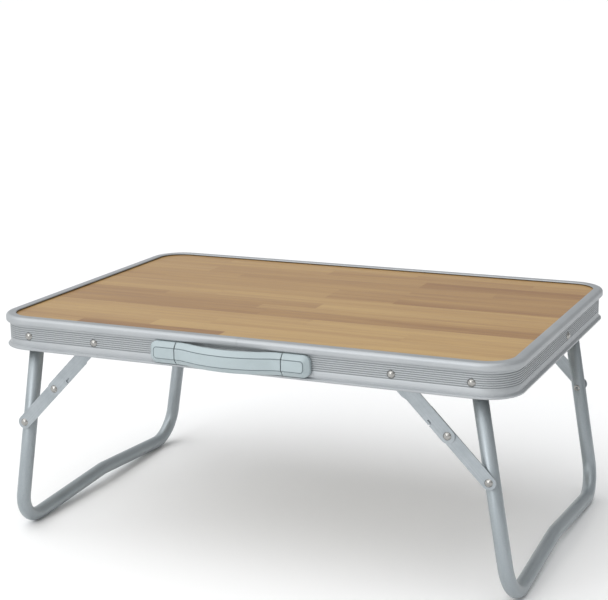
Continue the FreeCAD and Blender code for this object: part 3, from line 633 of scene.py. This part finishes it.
def cap_blank(side):
    """A solid end cap: its outline drawn in step by step up the skin."""
    shape = bmesh.new()
    edge = GRIP_HALF + CAP_GAP
    groove = shape.verts.layers.float.new("groove")
    rims = []
    for inset, out in [(0, 0)] + SKIN:
        far, tall = GRIP_HALF + CAP_LONG - inset, HANDLE_HALF_TALL - inset
        radius = CAP_ROUND - inset * CORNER_FALL
        outline = ([(edge, -tall)] + arc(far - radius, radius - tall, radius, -90, 0, 10)
                   + arc(far - radius, tall - radius, radius, 0, 90, 10) + [(edge, tall)])
        rims.append([shape.verts.new(on_handle(side * x, out, up)) for x, up in outline])
        # The crease's bottom is marked for painted shade.
        for vert in rims[-1]:
            vert[groove] = inset in CREASE
    for lower, upper in zip(rims, rims[1:]):
        for i in range(len(lower) - 1):
            shape.faces.new([lower[i], lower[i + 1], upper[i + 1], upper[i]])
    shape.faces.new(rims[0])
    shape.faces.new(rims[-1])
    shape.faces.new([rim[0] for rim in rims] + [rim[-1] for rim in reversed(rims)])
    turn_outwards(shape)
    return add_piece(shape, "cap_blank", plastic)


def cap(name, side):
    """An end cap: the blank with a pocket for the grip's tongue and a boss for its screw."""
    blank = cap_blank(side)
    pocket = tool("pocket", block(GRIP_HALF - 1, GRIP_HALF + POCKET_LONG, POCKET_HALF_TALL, side), -1,
                  CAP_DEEP)
    boss_round = arc(side * (GRIP_HALF + BOSS_AT), 0, BOSS_RADIUS, 0, 345, 23)
    boss = tool("boss", boss_round, 0, CAP_DEEP + 0.3)
    for other, action in ((pocket, "DIFFERENCE"), (boss, "UNION")):
        step = blank.modifiers.new(other.name, "BOOLEAN")
        step.object = other
        step.operation = action
    bpy.context.view_layer.update()
    mesh = bpy.data.meshes.new_from_object(blank.evaluated_get(bpy.context.evaluated_depsgraph_get()))
    for thing in (blank, pocket, boss):
        bpy.data.objects.remove(thing)
    finished = bmesh.new()
    finished.from_mesh(mesh)
    piece = add_piece(finished, f"handle_end_cap_{name}", plastic, 25)
    soften(piece, 0.5, 87)
    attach(piece, "table_frame")
    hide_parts(f"handle_cap_{name}")


def grip_blank():
    """The bowed strap without its tongues, swept along two knees and a long bow."""
    turn = 2 * math.atan(GRIP_BOW / GRIP_HALF)
    bow = GRIP_HALF / math.sin(turn) - GRIP_TURN
    knee = GRIP_HALF - GRIP_TURN * math.tan(turn / 2)
    crest = -knee * math.tan(turn)
    route = [(-GRIP_HALF, 0), (-knee, 0), (0, crest), (knee, 0), (GRIP_HALF, 0)]
    path = line_object("grip_path", [(HANDLE_AT + x, y - RAIL_Y, HANDLE_HIGH) for x, y in route], False,
                       bend=[radius * MM for radius in (0, GRIP_TURN, bow, GRIP_TURN, 0)])
    skin = [(0.7, GRIP_BACK), (0.2, GRIP_BACK + 0.2), (0, GRIP_BACK + 0.7)] + SKIN
    lower = [(out, HANDLE_HALF_TALL - inset, 0) for inset, out in skin]
    upper = [(out, -down, 0) for out, down, _ in reversed(lower)]
    # The crease's bottom, marked for painted shade in the plastic's colour
    crease_shade = [inset in CREASE for inset, _ in skin]
    section = line_object("grip_section", lower + upper, True, groove=crease_shade + crease_shade[::-1])
    strap = settle(path, "handle_strap", sweep_tree("sweep_grip", "Z_UP"), {
        "section": section, "bend_steps": 24, "closed_ends": True, "finish": plastic}, sharp=25)
    bpy.data.objects.remove(section)
    return strap


def grip():
    """The strap with a forked tongue at each end, which passes round the cap's boss."""
    piece = grip_blank()
    shape = bmesh.new()
    shape.from_mesh(piece.data)
    root, tip, fork = GRIP_HALF - 1, GRIP_HALF + TONGUE_LONG, GRIP_HALF + FORK_START
    half_tongue = [(root, TONGUE_HALF_TALL), (tip, TONGUE_HALF_TALL), (tip, FORK_HALF_TALL),
                   (fork, FORK_HALF_TALL)]
    for side in (-1, 1):
        tongue = [(side * x, -up) for x, up in half_tongue]
        tongue += [(side * x, up) for x, up in reversed(half_tongue)]
        prism(shape, tongue, GRIP_BACK, GRIP_BACK + TONGUE_THICK)
    turn_outwards(shape)
    shape.to_mesh(piece.data)
    shape.free()
    piece.data.set_sharp_from_angle(angle=math.radians(25))
    soften(piece, 0.5, 87)
    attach(piece, "handle_grip")
    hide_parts("handle_grip")


plastic = moulded_plastic()
for cap_name, side in (("left", -1), ("right", 1)):
    cap(cap_name, side)
grip()

# ------------------------------------------------------------------------------------------
# The rivets: bright nickel plated, with a domed head outside and a rolled hollow tail inside.
# The longest go through rail, spacer and leg tube. Each one holds at its seat, facing inwards.
# ------------------------------------------------------------------------------------------
# Radii and heights of a rivet's shank, domed head and rolled tail
SHANK, HEAD, HEAD_TALL = 2.5, 4.4, 2.5
TAIL, TAIL_TALL, TAIL_BORE = 3.6, 1.5, 1.5
STRAP, SLIP = 1.5, 0.15
# How far in from the rail's inner wall the upper strap, the lower strap and the leg tube lie
STRAP_INSET, LOWER_INSET, TUBE_INSET = 3.8, 5.45, 18
INNER_Y = RAIL_Y - RAIL_WALL


def seat_tree():
    """Sets a turned piece on every seat point, turned about the upright to face its own way."""
    tree, add, given = new_tree("pieces_on_seats", turned_piece="Object", finish="Material")
    turn = add("GeometryNodeInputNamedAttribute", in_Name="turn").outputs[0]
    angles = add("ShaderNodeCombineXYZ", {"Z": turn}).outputs[0]
    facing = add("FunctionNodeEulerToRotation", {"Euler": angles}).outputs[0]
    source = add("GeometryNodeObjectInfo", {"Object": given["turned_piece"]}).outputs["Geometry"]
    placed = add("GeometryNodeInstanceOnPoints", {"Points": given["Geometry"], "Instance": source,
                                                  "Rotation": facing}).outputs[0]
    end_tree(add, placed, given["finish"])
    return tree


def turned_shape(name, profile, steps=40):
    """A piece turned about its own Y axis, from points of (radius, distance along)."""
    shape = bmesh.new()
    verts = [shape.verts.new(Vector((radius, along, 0)) * MM) for radius, along in profile]
    edges = [shape.edges.new(pair) for pair in zip(verts, verts[1:])]
    bmesh.ops.spin(shape, geom=verts + edges, cent=(0, 0, 0), axis=(0, 1, 0), steps=steps,
                   angle=math.tau)
    bmesh.ops.remove_doubles(shape, verts=shape.verts, dist=1e-6)
    mesh = bpy.data.meshes.new(name)
    shape.to_mesh(mesh)
    shape.free()
    thing = bpy.data.objects.new(name, mesh)
    bpy.context.scene.collection.objects.link(thing)
    return thing


def dome():
    """The domed head, from its crown to its rim."""
    radius = (HEAD * HEAD + HEAD_TALL * HEAD_TALL) / (2 * HEAD_TALL)
    spread = math.degrees(math.asin(HEAD / radius))
    return arc(0, radius - HEAD_TALL, radius, -90, -90 + spread, 9) + [(HEAD - 0.1, 0.05)]


def rolled_tail(grip):
    """The tail's rolled edge round its hollow, from the shank inwards."""
    return ([(SHANK, grip), (TAIL - 0.3, grip)] + arc(TAIL - 0.65, grip + 0.7, 0.65, -60, 60, 5)
            + arc(TAIL_BORE + 0.75, grip + TAIL_TALL - 0.75, 0.75, 70, 180, 5)
            + [(TAIL_BORE - 0.1, grip - TAIL_TALL + 0.4), (0, grip - TAIL_TALL)])


def bright_nickel():
    """Bright nickel plating, polished but a little smudged and not quite even."""
    material, add, join = new_finish("bright_nickel", Metallic=1.0)
    place = add("ShaderNodeTexCoord").outputs["Object"]
    smudge = noise(add, place, 260.0, 4.0, 0.6)
    join(blend(add, between(add, smudge, 0, 1), "aeadaa", "92918e"), "Base Color")
    join(between(add, smudge, 0.16, 0.3), "Roughness")
    relief(add, join, noise(add, place, 700.0, 2.0), 0.05)
    return material


def seat(name, node, body, tree, piece_shape, seats, material):
    """Sets one node's equal pieces on their seats: x, y and z in millimetres, and the turn."""
    points = line_object(name + "_seats", [(x, y, z) for x, y, z, _ in seats], False,
                         turn=[math.radians(turn) for _, _, _, turn in seats])
    piece = settle(points, name, tree, {"turned_piece": piece_shape, "finish": material}, sharp=50)
    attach(piece, body)
    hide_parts(node)


def middle(node):
    """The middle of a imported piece, in millimetres."""
    low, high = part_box(node)
    return (low + high) / 2 / MM


def facing(side):
    """Pieces in the front rail point backwards, those in the back rail forwards."""
    return 0 if side < 0 else 180


def front_and_back(node, depth):
    """One seat in each long rail, at a distance from the table's middle line."""
    centre = middle(node)
    return [(centre.x, depth * side, centre.z, facing(side)) for side in (-1, 1)]


nickel = bright_nickel()
on_seats = seat_tree()
leg_stack = RAIL_WALL + TUBE_INSET + TUBE_RADIUS + SLIP
leg_rivet = turned_shape("leg_rivet", dome() + rolled_tail(leg_stack))
top_rivet = turned_shape("top_rivet", dome() + rolled_tail(RAIL_WALL + STRAP + 2 * SLIP))
batten_rivet = turned_shape("batten_rivet", dome() + rolled_tail(RAIL_WALL + STRAP))
mid_rivet = turned_shape("mid_rivet", dome() + rolled_tail(2 * STRAP + 2 * SLIP))
foot_head = turned_shape("foot_head", dome() + [(SHANK, 0.05), (SHANK, STRAP), (0, STRAP)])
PIN_START = LOWER_INSET + STRAP + SLIP
pin_stack = TUBE_INSET + TUBE_RADIUS - PIN_START
foot_pin = turned_shape("foot_pin", [(0, 0), (SHANK, 0)] + rolled_tail(pin_stack))

for leg_name in ("left", "right"):
    node = f"leg_pivot_rivets_{leg_name}"
    seat(f"leg_rivets_{leg_name}", node, "table_frame", on_seats, leg_rivet,
         front_and_back(node, RAIL_Y), nickel)
    node = f"brace_foot_pins_{leg_name}"
    seat(f"foot_pins_{leg_name}", node, f"leg_{leg_name}", on_seats, foot_pin,
         front_and_back(node, INNER_Y - PIN_START), nickel)

brace_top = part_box("brace_top_rivets")[1].x / MM - HEAD
seat("top_rivets", "brace_top_rivets", "table_frame", on_seats, top_rivet,
     [(brace_top * side_x, RAIL_Y * side_y, middle("brace_top_rivets").z, facing(side_y))
      for side_x in (-1, 1) for side_y in (-1, 1)], nickel)
centre = middle("batten_rivets")
seat("end_rivets", "batten_rivets", "table_frame", on_seats, batten_rivet,
     [(RAIL_X * side, centre.y, centre.z, 90 * side) for side in (-1, 1)], nickel)

for place, _ in CORNERS:
    side = -1 if place.startswith("front") else 1
    for name, kind, half, inset in (("mid_rivet", mid_rivet, "upper", STRAP_INSET),
                                    ("foot_rivet", foot_head, "lower", LOWER_INSET)):
        node = f"brace_{name}_{place}"
        centre = middle(node)
        seat(f"{name}_{place}", node, f"brace_{half}_{place}", on_seats, kind,
             [(centre.x, (INNER_Y - inset) * side, centre.z, facing(side))], nickel)

# ------------------------------------------------------------------------------------------
# The spacers on the long rivets, cut from thin steel tube, and the two pan head screws that
# hold the handle's end caps through the splice plate. All are zinc plated.
# ------------------------------------------------------------------------------------------
BUSH, BUSH_BORE = 5.5, 2.55
SCREW, SCREW_HEAD, SCREW_HEAD_TALL, SCREW_LONG = 1.5, 3, 1.8, 7
THREADS, THREAD_START, THREAD_STEP, THREAD_DEEP = 20, 0.6, 0.4, 0.18


def dull_zinc():
    """Barrel plated zinc: dull and cloudy, with faint turning marks."""
    material, add, join = new_finish("barrel_plated_zinc", Metallic=0.8)
    place = add("ShaderNodeTexCoord").outputs["Object"]
    cloud = noise(add, place, 300.0, 4.0, 0.65)
    join(blend(add, between(add, cloud, 0, 1), "a9adae", "8d9294"), "Base Color")
    join(between(add, cloud, 0.34, 0.52), "Roughness")
    marks = add("ShaderNodeMapping", {"Vector": place}, in_Scale=(200, 3000, 200)).outputs["Vector"]
    relief(add, join, noise(add, marks, 1.0, 2.0), 0.08)
    return material


def bush_shape(name, long):
    """A short tube with its edges broken, closed on itself."""
    edge = 0.25
    return turned_shape(name, [
        (BUSH_BORE, edge), (BUSH_BORE + edge, 0), (BUSH - edge, 0), (BUSH, edge), (BUSH, long - edge),
        (BUSH - edge, long), (BUSH_BORE + edge, long), (BUSH_BORE, long - edge), (BUSH_BORE, edge)])


plated = dull_zinc()
leg_bush = bush_shape("leg_bush", TUBE_INSET - TUBE_RADIUS - SLIP)
foot_bush = bush_shape("foot_bush", TUBE_INSET - TUBE_RADIUS - PIN_START)
for leg_name in ("left", "right"):
    node = f"leg_pivot_bushes_{leg_name}"
    seat(f"leg_spacers_{leg_name}", node, "table_frame", on_seats, leg_bush,
         front_and_back(node, INNER_Y), plated)
    node = f"brace_foot_bushes_{leg_name}"
    seat(f"foot_spacers_{leg_name}", node, f"leg_{leg_name}", on_seats, foot_bush,
         front_and_back(node, INNER_Y - PIN_START), plated)


def screw_profile():
    """The driving socket, the round head, the fine thread and the point."""
    crown = -SCREW_HEAD_TALL
    end = STRAP + RAIL_WALL + SCREW_LONG
    thread = [(SCREW - THREAD_DEEP * (k % 2), THREAD_START + THREAD_STEP * k) for k in range(THREADS)]
    return ([(0, crown + 0.7), (0.9, crown + 0.7), (1.1, crown + 0.1)]
            + arc(SCREW_HEAD - 0.9, crown + 0.9, 0.9, -90, 0, 5) + [(SCREW_HEAD, 0), (SCREW, 0)]
            + thread + [(SCREW - 0.6, end - 0.5), (0, end)])


screw = turned_shape("screw", screw_profile(), 24)
centre = middle("handle_screws")
seat("cap_screws", "handle_screws", "table_frame", on_seats, screw,
     [(centre.x + (GRIP_HALF + BOSS_AT) * side, STRAP - INNER_Y, centre.z, 180) for side in (-1, 1)],
     plated)
for thing in (leg_rivet, top_rivet, batten_rivet, mid_rivet, foot_head, foot_pin, leg_bush, foot_bush,
              screw):
    bpy.data.objects.remove(thing)

# ------------------------------------------------------------------------------------------
# The studio: a plain pale floor, a soft room that is brighter in front, a broad light from
# above and a key from the front left. The camera stands in front and looks across to the left.
# ------------------------------------------------------------------------------------------
FLOOR_GREY = 0.92
ROOM_TINT, FRONT_GLOW, BACK_GLOW = (0.98, 0.99, 1, 1), 1.05, 0.48
CAMERA_AT, CAMERA_TURNS = (0.67878, -1.55078, 0.64482), (77.1738, 0.6987, 23.778)
SENSOR_WIDE, LENS = 36, 88.83


def studio_floor():
    shape = bmesh.new()
    bmesh.ops.create_grid(shape, x_segments=1, y_segments=1, size=40)
    grey = (FLOOR_GREY, FLOOR_GREY, FLOOR_GREY, 1)
    pale, _, _ = new_finish("pale_floor", Roughness=0.9, Specular_IOR_Level=0.1, Base_Color=grey)
    add_piece(shape, "floor", pale)


def studio_room():
    """An even glow from every side, strongest from the front left."""
    world = bpy.data.worlds.new("studio")
    world.use_nodes = True
    tree = world.node_tree
    background = tree.nodes["Background"]
    background.inputs["Color"].default_value = ROOM_TINT
    add = add_nodes(tree)
    back_right = add("ShaderNodeVectorMath", {0: add("ShaderNodeTexCoord").outputs["Generated"]},
                     operation="DOT_PRODUCT", in_1=(0.7, 0.7, 0)).outputs["Value"]
    glow = between(add, back_right, FRONT_GLOW, BACK_GLOW, -0.6, 0.6)
    tree.links.new(glow, background.inputs["Strength"])
    bpy.context.scene.world = world


def lamp(name, kind, place, **settings):
    """A light that shines from its place towards the middle of the floor."""
    light = bpy.data.lights.new(name, kind)
    for setting, value in settings.items():
        setattr(light, setting, value)
    thing = bpy.data.objects.new(name, light)
    thing.matrix_world = (Matrix.Translation(place)
                          @ Vector(place).to_track_quat("Z", "Y").to_matrix().to_4x4())
    bpy.context.scene.collection.objects.link(thing)


def camera():
    lens = bpy.data.cameras.new("camera")
    lens.sensor_width = SENSOR_WIDE
    lens.lens = LENS
    thing = bpy.data.objects.new("camera", lens)
    turns = Euler([math.radians(angle) for angle in CAMERA_TURNS])
    thing.matrix_world = Matrix.LocRotScale(Vector(CAMERA_AT), turns, None)
    bpy.context.scene.collection.objects.link(thing)
    bpy.context.scene.camera = thing


studio_floor()
studio_room()
lamp("key", "AREA", (-0.5, -2.4, 1.2), size=1.2, energy=13)
lamp("daylight", "SUN", (-0.25, -0.3, 1), angle=math.radians(80), energy=1.25)
camera()
bpy.context.scene.view_settings.view_transform = "Standard"
